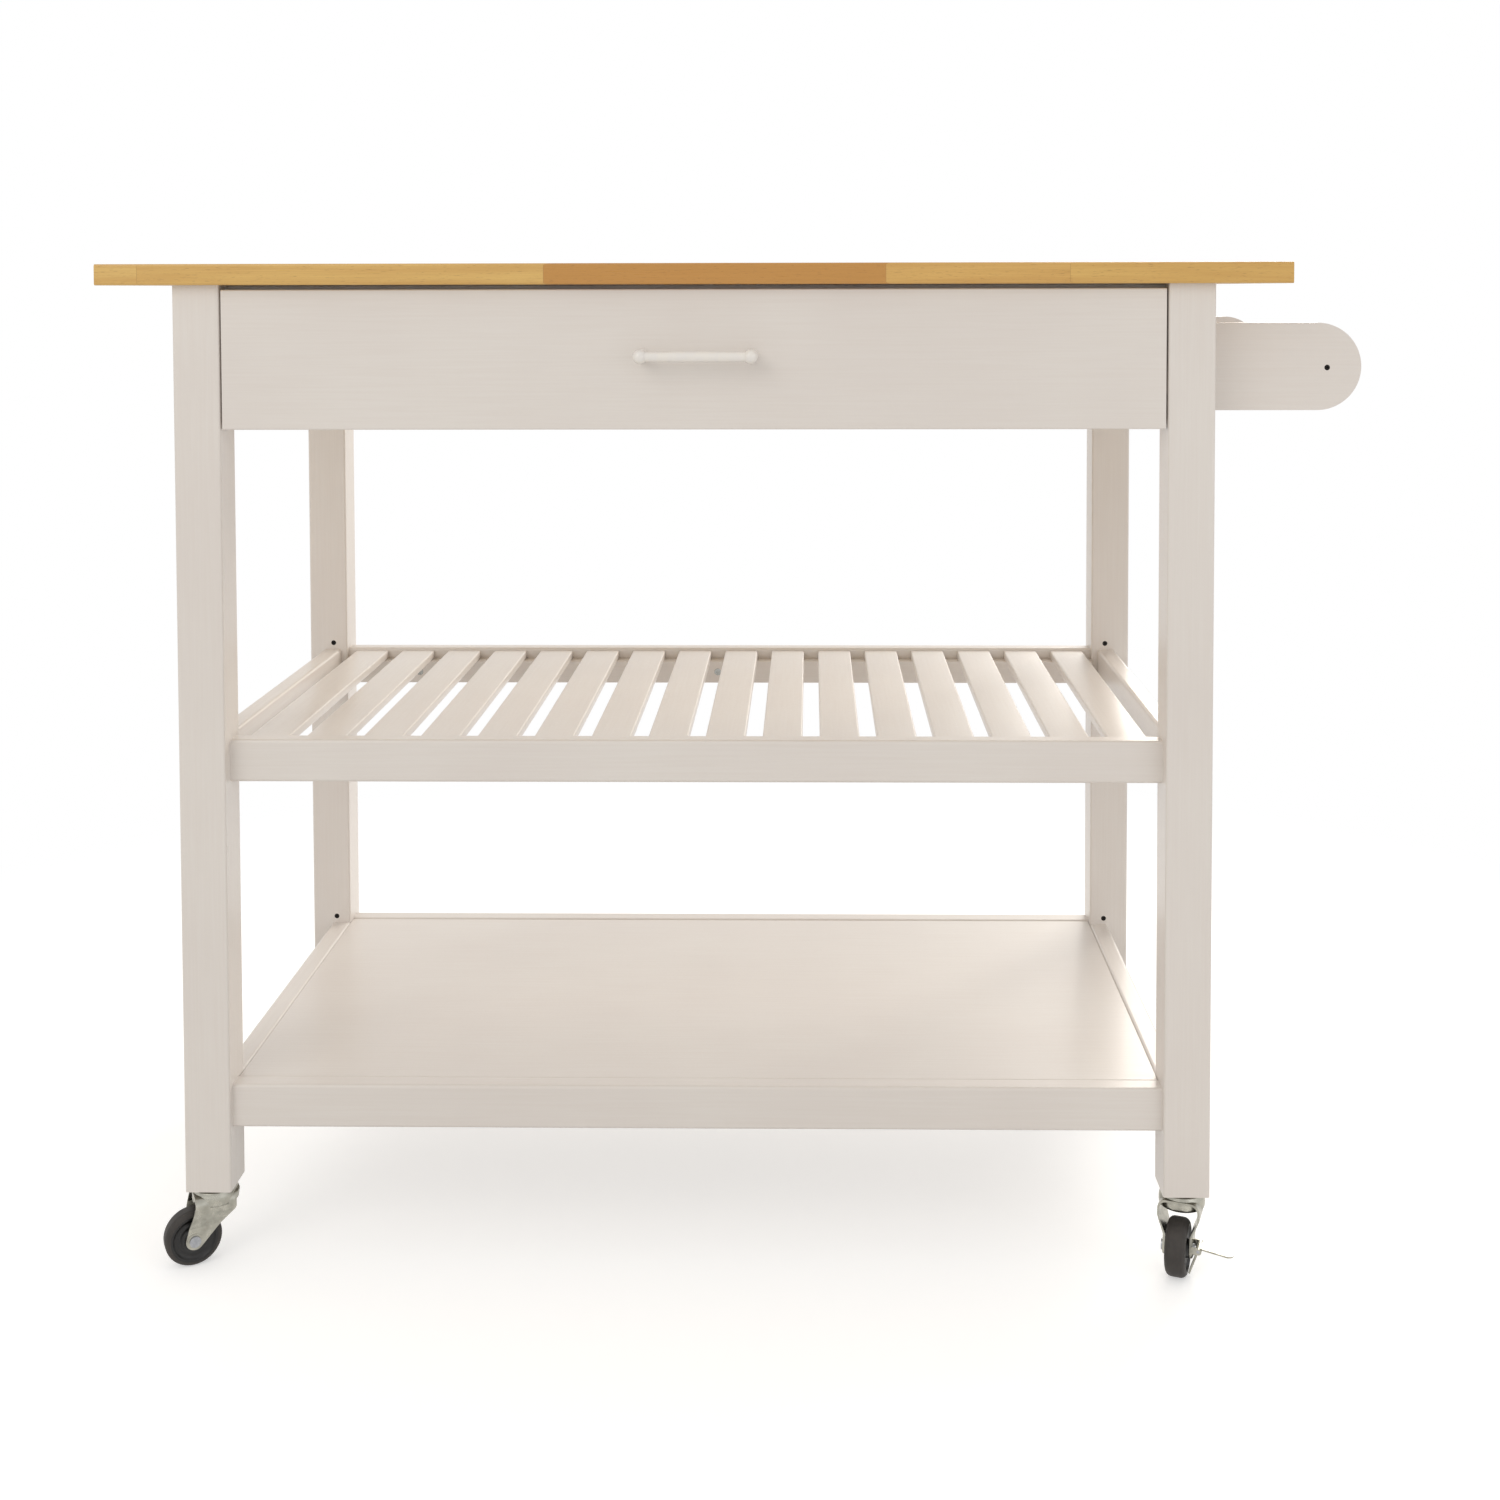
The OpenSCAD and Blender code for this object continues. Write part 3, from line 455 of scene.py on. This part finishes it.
dress(bare_wood("planed_pine_across", 0, "#e6cb9c", "#cfa468", 16, 0.62),
    "drawer_box_front", "drawer_back")
dress(bare_wood("planed_pine_deep", 1, "#e6cb9c", "#cfa468", 16, 0.62),
    "drawer_side_left", "drawer_side_right")
dress(bare_wood("sanded_birch_ply", 0, "#e3cda4", "#d2b382", 48, 0.58), "drawer_bottom")
dress(bare_wood("turned_beech", 0, "#d8b48a", "#bf9468", 5, 0.55), "dowels")


# ---- Handle ---------------------------------------------------------------------------
# A bow pull of cast zinc under thick white enamel. Its bar swells a little towards the
# middle and ends in two round knuckles, each on a short post with a flared foot.


def ring_loft(mesh, rings):
    """Joins rings of points with quads and closes both ends."""
    loops = [[mesh.verts.new(point) for point in ring] for ring in rings]
    for first, second in zip(loops, loops[1:]):
        for i, vert in enumerate(first):
            j = (i + 1) % len(first)
            mesh.faces.new((vert, first[j], second[j], second[i]))
    mesh.faces.new(reversed(loops[0]))
    mesh.faces.new(loops[-1])


def turned(mesh, start, axis, profile, steps=32):
    """A solid of revolution: pairs of distance along the axis and radius, in metres."""
    axis = Vector(axis).normalized()
    side = axis.orthogonal().normalized()
    other = axis.cross(side)
    rings = []
    for along, radius in profile:
        centre = Vector(start) + axis * along
        rings.append([centre + radius * (side * math.cos(t) + other * math.sin(t))
            for t in (2 * math.pi * i / steps for i in range(steps))])
    ring_loft(mesh, rings)


def finish_mesh(name, mesh, *materials, smooth=True):
    """Makes an object of a bmesh whose faces point outwards, with its materials."""
    bmesh.ops.recalc_face_normals(mesh, faces=mesh.faces)
    for face in mesh.faces:
        face.smooth = smooth
    data = bpy.data.meshes.new(name)
    mesh.to_mesh(data)
    mesh.free()
    for material in materials:
        data.materials.append(material)
    piece = bpy.data.objects.new(name, data)
    bpy.context.scene.collection.objects.link(piece)
    return piece


def white_enamel():
    """Thick glossy enamel that has flowed a little before it set."""
    material, tree, shader = new_material("white_enamel", ior=1.5, roughness=0.16,
        coat_weight=0.6, coat_roughness=0.06)
    flow = noise(tree, (9, 9, 9), 1.0)
    enamel = blend(tree, spread(tree, flow, 0.35, 0.65, 0.0, 1.0), "#efeae3", "#ebe7e3")
    tree.links.new(enamel, shader.inputs["Base Color"])
    bump(tree, shader, flow, 0.05, 0.4)
    return material


low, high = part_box("drawer_handle")
knuckle_r = 6.5 * MM
post_r = 5.2 * MM
bar_end_r = 4.3 * MM
bar_middle_r = 4.9 * MM
foot_r = 6.6 * MM
foot_t = 0.8 * MM
flare_l = 2.6 * MM
flare_r = post_r + 0.6 * MM
bar_steps = 24
knuckle_y = low.y + knuckle_r
middle_z = (low.z + high.z) / 2
pull = bmesh.new()
for x, inwards in ((low.x + knuckle_r, 1), (high.x - knuckle_r, -1)):
    post_l = high.y - knuckle_y
    turned(pull, (x, high.y, middle_z), (0, -1, 0), [(0, foot_r), (foot_t, foot_r),
        (flare_l, flare_r), (5 * MM, post_r), (post_l - 3 * MM, post_r)]
        + [(post_l + knuckle_r * math.sin(t), knuckle_r * math.cos(t))
            for t in (math.radians(a) for a in range(-20, 89, 12))])
bar_l = high.x - low.x - 2 * knuckle_r
turned(pull, (low.x + knuckle_r, knuckle_y, middle_z), (1, 0, 0),
    [(bar_l * i / bar_steps, bar_end_r
        + (bar_middle_r - bar_end_r) * math.sin(math.pi * i / bar_steps))
        for i in range(bar_steps + 1)])
handle = finish_mesh("bow_handle", pull, white_enamel())
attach(handle, "drawer")
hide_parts("drawer_handle")


# ---- Ball slides ----------------------------------------------------------------------
# Channels and runners are roll-formed from bright zinc-plated strip; the cages are plain
# pressed strip and the balls are polished bearing steel.


def plated_steel(name, light, dark, roughness, patch=9.0, brushed=None):
    """Metal with patchy plating; brushed gives the size of the lines of the rolling."""
    material, tree, shader = new_material(name, metallic=1.0, roughness=roughness)
    patches = noise(tree, (patch, patch, patch), 3.0)
    lines = noise(tree, brushed or (1.2, 1.2, 1.2), 2.0)
    metal = blend(tree, spread(tree, patches, 0.3, 0.7, 0.0, 1.0), light, dark)
    tree.links.new(metal, shader.inputs["Base Color"])
    rough = maths(tree, "ADD", spread(tree, patches, 0.3, 0.7, -0.04, 0.06),
        spread(tree, lines, 0.3, 0.7, roughness - 0.04, roughness + 0.05))
    tree.links.new(rough, shader.inputs["Roughness"])
    bump(tree, shader, lines, 0.02, 0.5)
    return material


dress(plated_steel("rolled_zinc_strip", "#c9cac8", "#b4b3ac", 0.3,
    brushed=(0.6, 40, 0.6)), "slide_channels", "drawer_runners")
dress(plated_steel("pressed_strip", "#a9abad", "#95969a", 0.38), "slide_cages")
dress(plated_steel("polished_balls", "#cfd2d4", "#c6c9cc", 0.1), "slide_balls")


# ---- Bolts and screws -----------------------------------------------------------------
# Fasteners are cold-headed steel. The frame bolts have plain flat heads, and the wood
# screws have flat heads with cross recesses: bright zinc inside the cart, black phosphate
# where they hold the towel rail and the shelves.


cross_arm = 0.3


def cross_radius(size, angle):
    """How far the outline of a cross recess lies from its middle."""
    narrow = size * cross_arm
    across = max(abs(math.cos(angle)), 1e-6)
    upward = max(abs(math.sin(angle)), 1e-6)
    return max(min(size / across, narrow / upward), min(narrow / across, size / upward))


def fastener_mesh(name, head_r, head_t, shank_r, length, socket):
    """A screw along -Z whose head's face is at z = 0 with a cross sunk into it."""
    corner = math.atan2(cross_arm, 1.0)
    quarter = math.pi / 2
    angles = sorted({round(q * quarter + a, 6) for q in range(4)
        for a in (0, corner, quarter / 2, quarter - corner, corner / 2, quarter / 4,
            3 * quarter / 4, quarter - corner / 2)})

    def ring(z, radius):
        return [(radius * math.cos(a), radius * math.sin(a), z) for a in angles]

    def socket_ring(z, shrink):
        return [(r * math.cos(a), r * math.sin(a), z) for a, r in
            ((a, shrink * cross_radius(socket, a)) for a in angles)]

    ease = head_t * 0.15
    rings = [ring(-length, shank_r * 0.7), ring(-length + shank_r, shank_r),
        ring(-head_t, shank_r), ring(-head_t, head_r), ring(-ease, head_r),
        ring(0, head_r - ease), socket_ring(0, 1.0), socket_ring(-head_t * 0.75, 0.85)]
    mesh = bmesh.new()
    ring_loft(mesh, rings)
    bmesh.ops.recalc_face_normals(mesh, faces=mesh.faces)
    data = bpy.data.meshes.new(name)
    mesh.to_mesh(data)
    mesh.free()
    return data


def fastener_tree():
    """Sets a screw on each point of an object, turned the way the point faces."""
    group, given, end = node_group("fastener_row", (("Places", "Object"),
        ("Fastener", "Object"), ("Finish", "Material")))
    places = add(group, "GeometryNodeObjectInfo", {"Object": given["Places"]})
    model = add(group, "GeometryNodeObjectInfo", {"Object": given["Fastener"]})
    facing = add(group, "GeometryNodeInputNamedAttribute", {"Name": "facing"},
        data_type="FLOAT_VECTOR")
    turn = add(group, "FunctionNodeAlignRotationToVector",
        {"Vector": facing.outputs["Attribute"]}, axis="Z")
    row = add(group, "GeometryNodeInstanceOnPoints", {"Points": places.outputs["Geometry"],
        "Instance": model.outputs["Geometry"], "Rotation": turn.outputs[0]})
    real = add(group, "GeometryNodeRealizeInstances", {0: row.outputs[0]})
    finished = add(group, "GeometryNodeSetMaterial",
        {"Geometry": real.outputs[0], "Material": given["Finish"]})
    group.links.new(finished.outputs[0], end.inputs[0])
    return group


fasteners = fastener_tree()


def fit_fasteners(node, name, finish, body, socket_share):
    """Puts a detailed fastener where each solid of a CAD node is, its head the same way."""
    kinds = {}
    for low, high, corners in islands(node):
        size = high - low
        axis = max(range(3), key=lambda i: size[i])
        middle = (low + high) / 2
        sides = [i for i in range(3) if i != axis]
        width = {end: max(math.hypot(*(c[i] - middle[i] for i in sides)) for c in corners
            if abs(c[axis] - (low, high)[end][axis]) < 0.1 * MM) for end in (0, 1)}
        head = 0 if width[0] > width[1] else 1
        facing = Vector([0, 0, 0])
        facing[axis] = 1 if head else -1
        place = middle.copy()
        place[axis] = (low, high)[head][axis]
        steps = sorted({round(abs(c[axis] - place[axis]), 5) for c in corners})
        thick = min(s for s in steps if s > 0.3 * MM)
        key = (round(width[head], 5), thick, round(width[1 - head], 5), round(size[axis], 4))
        kinds.setdefault(key, []).append((place, facing))
    pieces = []
    for key, spots in kinds.items():
        head_r, head_t, shank_r, length = key
        mesh = fastener_mesh(name + "_one", head_r, head_t, shank_r, length,
            head_r * socket_share)
        model = bpy.data.objects.new(name + "_one", mesh)
        points = bpy.data.meshes.new(name + "_places")
        points.from_pydata([spot[0] for spot in spots], [], [])
        ways = points.attributes.new("facing", "FLOAT_VECTOR", "POINT")
        for i, (_, facing) in enumerate(spots):
            ways.data[i].vector = facing
        holder = bpy.data.objects.new(name + "_places", points)
        for thing in (model, holder):
            bpy.context.scene.collection.objects.link(thing)
        pieces.append(run_group(name, fasteners, bpy.data.meshes.new(name + "_base"),
            {"Places": holder, "Fastener": model, "Finish": finish}))
        for thing in (model, holder):
            bpy.data.objects.remove(thing)
    whole = bmesh.new()
    for piece in pieces:
        whole.from_mesh(piece.data)
        bpy.data.objects.remove(piece)
    row = finish_mesh(name, whole, finish, smooth=False)
    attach(row, body)
    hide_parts(node)


bright_steel = plated_steel("bright_zinc_screws", "#b9bab8", "#a5a49c", 0.3, 3.0)
black_steel, tree, shader = new_material("black_phosphate_screws", metallic=0.6,
    roughness=0.5)
soot = noise(tree, (0.8, 0.8, 0.8), 2.0)
tree.links.new(blend(tree, soot, "#2b2725", "#1c1a1a"), shader.inputs["Base Color"])
bump(tree, shader, soot, 0.03, 0.6)
dress(bright_steel, "frame_bolts", "barrel_nuts", "drawer_screws")
for node, name, finish, body, slot, socket_share in (
    ("leg_screws", "shelf_pin_screws", black_steel, "cart", "black_screws", 0.62),
    ("towel_rail_screws", "towel_rail_fixings", black_steel, "cart", "black_screws", 0.6),
    ("worktop_screws", "worktop_fixings", bright_steel, "cart", "screw_steel", 0.6),
    ("cleat_screws", "cleat_fixings", bright_steel, "cart", "screw_steel", 0.6),
    ("slide_screws", "slide_fixings", bright_steel, "cart", "screw_steel", 0.6),
    ("handle_screws", "handle_fixings", bright_steel, "drawer", "screw_steel", 0.6),
):
    fit_fasteners(node, name, finish, body, socket_share)


# ---- Casters --------------------------------------------------------------------------
# Each fork is pressed from zinc-plated sheet, with a bell round its ball race, and turns
# on the stem. The wheel is a hard black moulding with a rubber tread, and the brake pedal
# is bent from the same sheet as the fork.

zinc = plated_steel("zinc_plated_pressing", "#b5b3a8", "#9d9b91", 0.3, 7.0)
rivet = plated_steel("rivet_steel", "#b0b2b6", "#9a9ca2", 0.34, 3.0)


def moulded_black(name, light, dark, roughness, grit):
    """Black moulding with a grain in millimetres, dusty in patches."""
    material, tree, shader = new_material(name, ior=1.5, roughness=roughness)
    dust = noise(tree, (14, 14, 14), 3.0)
    grain = noise(tree, (grit, grit, grit), 2.0)
    tree.links.new(blend(tree, spread(tree, dust, 0.4, 0.7, 0.0, 1.0), dark, light),
        shader.inputs["Base Color"])
    bump(tree, shader, grain, 0.06, 0.5)
    return material


tread_rubber = moulded_black("tread_rubber", "#3e3935", "#302c29", 0.62, 0.9)
wheel_black = moulded_black("moulded_wheel_black", "#1b1a19", "#121111", 0.38, 0.6)


def spun(mesh, centre, axis, start, section):
    """Turns a closed section, pairs of distance along the axis and radius, full circle.

    Returns the faces in rows, one row for each side of the section.
    """
    steps = 72
    other = axis.cross(start)
    loops = [[mesh.verts.new(centre + axis * along
        + radius * (start * math.cos(t) + other * math.sin(t)))
        for t in (2 * math.pi * i / steps for i in range(steps))]
        for along, radius in section]
    return [[mesh.faces.new((first[i], first[(i + 1) % steps], second[(i + 1) % steps],
        second[i])) for i in range(steps)]
        for first, second in zip(loops, loops[1:] + loops[:1])]


def make_wheel(corner, spin_axis, spin_centre):
    """A wheel turned about its axle: tread, shoulders, dished side, rib and hub."""
    low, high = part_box("caster_wheel_" + corner)
    radius = (high.z - low.z) / 2
    hub_half = 10.7 * MM
    half = 9.5 * MM
    bore = 3.1 * MM
    tread_depth = 4.5 * MM
    side = [(hub_half, 7.4 * MM), (hub_half - 0.5 * MM, 8.0 * MM), (half - 2.2 * MM, 8.6 * MM),
        (half - 2.4 * MM, 11.5 * MM), (half - 1.9 * MM, 12.3 * MM),
        (half - 1.9 * MM, 13.5 * MM), (half - 2.4 * MM, 14.3 * MM),
        (half - 2.2 * MM, 18.0 * MM), (half - 0.3 * MM, 18.8 * MM), (half, 19.4 * MM)]
    shoulder = [(half - 0.1 * MM, radius - 4.4 * MM), (half - 0.5 * MM, radius - 3.0 * MM),
        (half - 1.5 * MM, radius - 1.6 * MM), (half - 2.8 * MM, radius - 0.7 * MM),
        (half - 3.4 * MM, radius - 0.45 * MM), (half - 3.9 * MM, radius - 0.5 * MM),
        (half - 4.3 * MM, radius - 0.1 * MM), (half - 6.2 * MM, radius)]
    right = [(hub_half, bore)] + side + shoulder
    profile = right + [(-along, r) for along, r in reversed(right)]
    mesh = bmesh.new()
    rows = spun(mesh, Vector(spin_centre), Vector(spin_axis).normalized(),
        Vector((0, 0, 1)), profile)
    for i, row in enumerate(rows):
        inner = min(profile[i][1], profile[(i + 1) % len(profile)][1])
        for face in row:
            face.material_index = int(inner > radius - tread_depth)
    return finish_mesh("wheel_" + corner, mesh, wheel_black, tread_rubber)


def make_bell(corner, pivot):
    """The pressed bell of a fork: the ball race's cup above, and its skirt below."""
    collar = 15.6
    section = [(66.2, collar), (68.2, collar), (68.9, collar + 0.8), (69.2, 17.4),
        (68.9, 18.8), (68.0, 19.4), (66.8, 19.5), (65.6, 20.3), (63.0, 20.9), (59.0, 21.0),
        (56.6, 20.6), (56.4, 19.8), (57.4, 19.6), (62.0, 19.7), (64.6, 18.9), (65.8, 17.0)]
    mesh = bmesh.new()
    spun(mesh, Vector((pivot.x, pivot.y, 0)), Vector((0, 0, 1)), Vector((1, 0, 0)),
        [(height * MM, radius * MM) for height, radius in section])
    bell = finish_mesh("fork_bell_" + corner, mesh, zinc)
    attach(bell, "swivel_" + corner)


joints = {joint["name"]: joint for joint in frame["joints"]}
for corner in ("front_left", "front_right", "rear_left", "rear_right"):
    dress(zinc, "caster_fork_" + corner)
    dress(rivet, "caster_axle_" + corner)
    spin = joints["wheel_" + corner + "_spin"]
    wheel = make_wheel(corner, spin["axis"], spin["pos_m"])
    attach(wheel, "wheel_" + corner)
    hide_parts("caster_wheel_" + corner)
    make_bell(corner, Vector(joints["swivel_" + corner + "_turn"]["pos_m"]))
dress(zinc, "caster_stems", "brake_pedal_front_right", "brake_pedal_rear_left")
